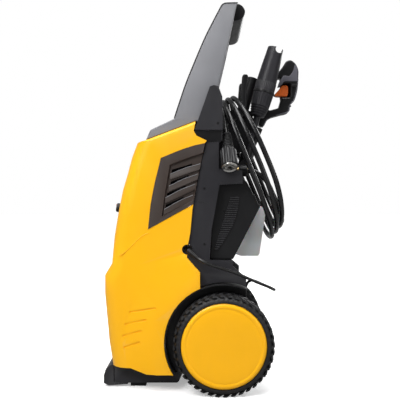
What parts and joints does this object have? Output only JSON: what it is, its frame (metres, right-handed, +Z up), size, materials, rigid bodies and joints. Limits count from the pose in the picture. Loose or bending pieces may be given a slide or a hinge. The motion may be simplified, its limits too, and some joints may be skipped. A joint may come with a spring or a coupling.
{
  "type": "pressure washer",
  "caption": "Upright electric pressure washer on wheels: casing, handle, hung hose, trigger gun, turbo lance, detergent bottle, mains lead, motor and pump.",
  "frame": {"origin": "on the floor under the centre of the machine's box, the hose and lead left out", "axes": "+Z up, -Y is the front of the machine, +Y its rear, +X its right side seen from behind"},
  "size_m": [0.34, 0.473, 0.878],
  "materials": {
    "yellow_plastic": "smooth satin moulded plastic, warm yellow",
    "grey_plastic": "fine grained mid grey moulded plastic",
    "charcoal_plastic": "fine grained charcoal moulded plastic",
    "grille_plastic": "brown-grey moulded plastic",
    "gun_plastic": "mid charcoal moulded plastic",
    "black_plastic": "near black moulded plastic",
    "orange_plastic": "orange moulded plastic",
    "milky_plastic": "translucent blow-moulded plastic, grey white",
    "rubber": "dull black rubber",
    "hose_rubber": "glossy black hose jacket",
    "lead_rubber": "black lead jacket",
    "steel": "plated steel",
    "aluminium": "cast aluminium",
    "brass": "turned brass"
  },
  "bodies": {
    "machine": {"casing": "yellow_plastic", "grille_right": "grille_plastic", "grille_left": "grille_plastic", "handle_arm_right": "grey_plastic", "handle_arm_left": "grey_plastic", "handle_grip": "black_plastic", "handle_base": "grey_plastic", "bracket_cover_right": "charcoal_plastic", "bracket_cover_left": "charcoal_plastic", "rear_frame": "charcoal_plastic", "rear_cover": "black_plastic", "hose_hook": "black_plastic", "gun_holster": "black_plastic", "nozzle_holder": "gun_plastic", "base_tray": "charcoal_plastic", "front_foot": "gun_plastic", "foot_pad_right": "rubber", "foot_pad_left": "rubber", "axle": "steel", "arch_liner_right": "black_plastic", "arch_liner_left": "black_plastic", "switch_bezel": "black_plastic", "switch_box": "charcoal_plastic", "motor_housing": "aluminium", "motor_end_cap": "charcoal_plastic", "pump_body": "aluminium", "pump_manifold": "brass", "capacitor": "black_plastic", "outlet_pipe": "steel", "inlet_fitting": "brass", "outlet_fitting": "brass", "hose_coil": "hose_rubber", "hose_insert": "steel", "hose_nut": "black_plastic", "hose_strain_relief": "rubber", "hose_run_end": "hose_rubber", "hose_run_outlet": "hose_rubber", "lead_gland": "black_plastic", "lead_strain_relief": "rubber", "lead_run": "lead_rubber", "lead_coil": "lead_rubber", "lead_plug": "black_plastic"},
    "wheel_right": {"tyre_right": "rubber", "rim_right": "charcoal_plastic", "hubcap_right": "yellow_plastic"},
    "wheel_left": {"tyre_left": "rubber", "rim_left": "charcoal_plastic", "hubcap_left": "yellow_plastic"},
    "knob": {"power_knob": "black_plastic"},
    "gun": {"gun_body": "gun_plastic", "gun_barrel": "black_plastic"},
    "trigger": {"trigger": "orange_plastic"},
    "trigger_lock": {"trigger_lock": "black_plastic"},
    "lance": {"lance_body": "charcoal_plastic", "lance_collar": "black_plastic"},
    "nozzle": {"turbo_nozzle": "charcoal_plastic"},
    "bottle": {"detergent_bottle": "milky_plastic"},
    "cap": {"bottle_cap": "black_plastic"},
    "rotor": {"rotor": "steel", "cooling_fan": "black_plastic"}
  },
  "joints": [
    {"name": "wheel_right_spin", "type": "hinge", "parent": "machine", "child": "wheel_right", "pos_m": [0.141, 0.0365, 0.111], "axis": [1, 0, 0], "continuous": true},
    {"name": "wheel_left_spin", "type": "hinge", "parent": "machine", "child": "wheel_left", "pos_m": [-0.141, 0.0365, 0.111], "axis": [1, 0, 0], "continuous": true},
    {"name": "power_knob_turn", "type": "hinge", "parent": "machine", "child": "knob", "pos_m": [0, -0.1875, 0.405], "axis": [0, -0.9842, 0.1772], "range_deg": [0, 90]},
    {"name": "gun_lift", "type": "slide", "parent": "machine", "child": "gun", "axis": [0, 0.3746, 0.9272], "range_m": [0, 0.11]},
    {"name": "trigger_pull", "type": "hinge", "parent": "gun", "child": "trigger", "pos_m": [-0.06, 0.2055, 0.717], "axis": [1, 0, 0], "range_deg": [0, 10], "stiffness_Nm_per_rad": 0.5, "springref_deg": -17.19},
    {"name": "trigger_lock_turn", "type": "hinge", "parent": "gun", "child": "trigger_lock", "pos_m": [-0.042, 0.223, 0.72], "axis": [1, 0, 0], "range_deg": [0, 90]},
    {"name": "lance_lift", "type": "slide", "parent": "machine", "child": "lance", "axis": [0, 0.2639, 0.9646], "range_m": [0, 0.07]},
    {"name": "nozzle_turn", "type": "hinge", "parent": "lance", "child": "nozzle", "pos_m": [0, 0.1415, 0.694], "axis": [0, 0.2639, 0.9646], "continuous": true},
    {"name": "bottle_release", "type": "slide", "parent": "machine", "child": "bottle", "axis": [0, -0.4104, -0.9119], "range_m": [0, 0.09]},
    {"name": "bottle_cap_turn", "type": "hinge", "parent": "bottle", "child": "cap", "pos_m": [-0.028, 0.1415, 0.384], "axis": [0, 0.9903, 0.1386], "continuous": true},
    {"name": "motor_spin", "type": "hinge", "parent": "machine", "child": "rotor", "pos_m": [0, -0.1025, 0.3], "axis": [0, 0, 1], "continuous": true}
  ]
}
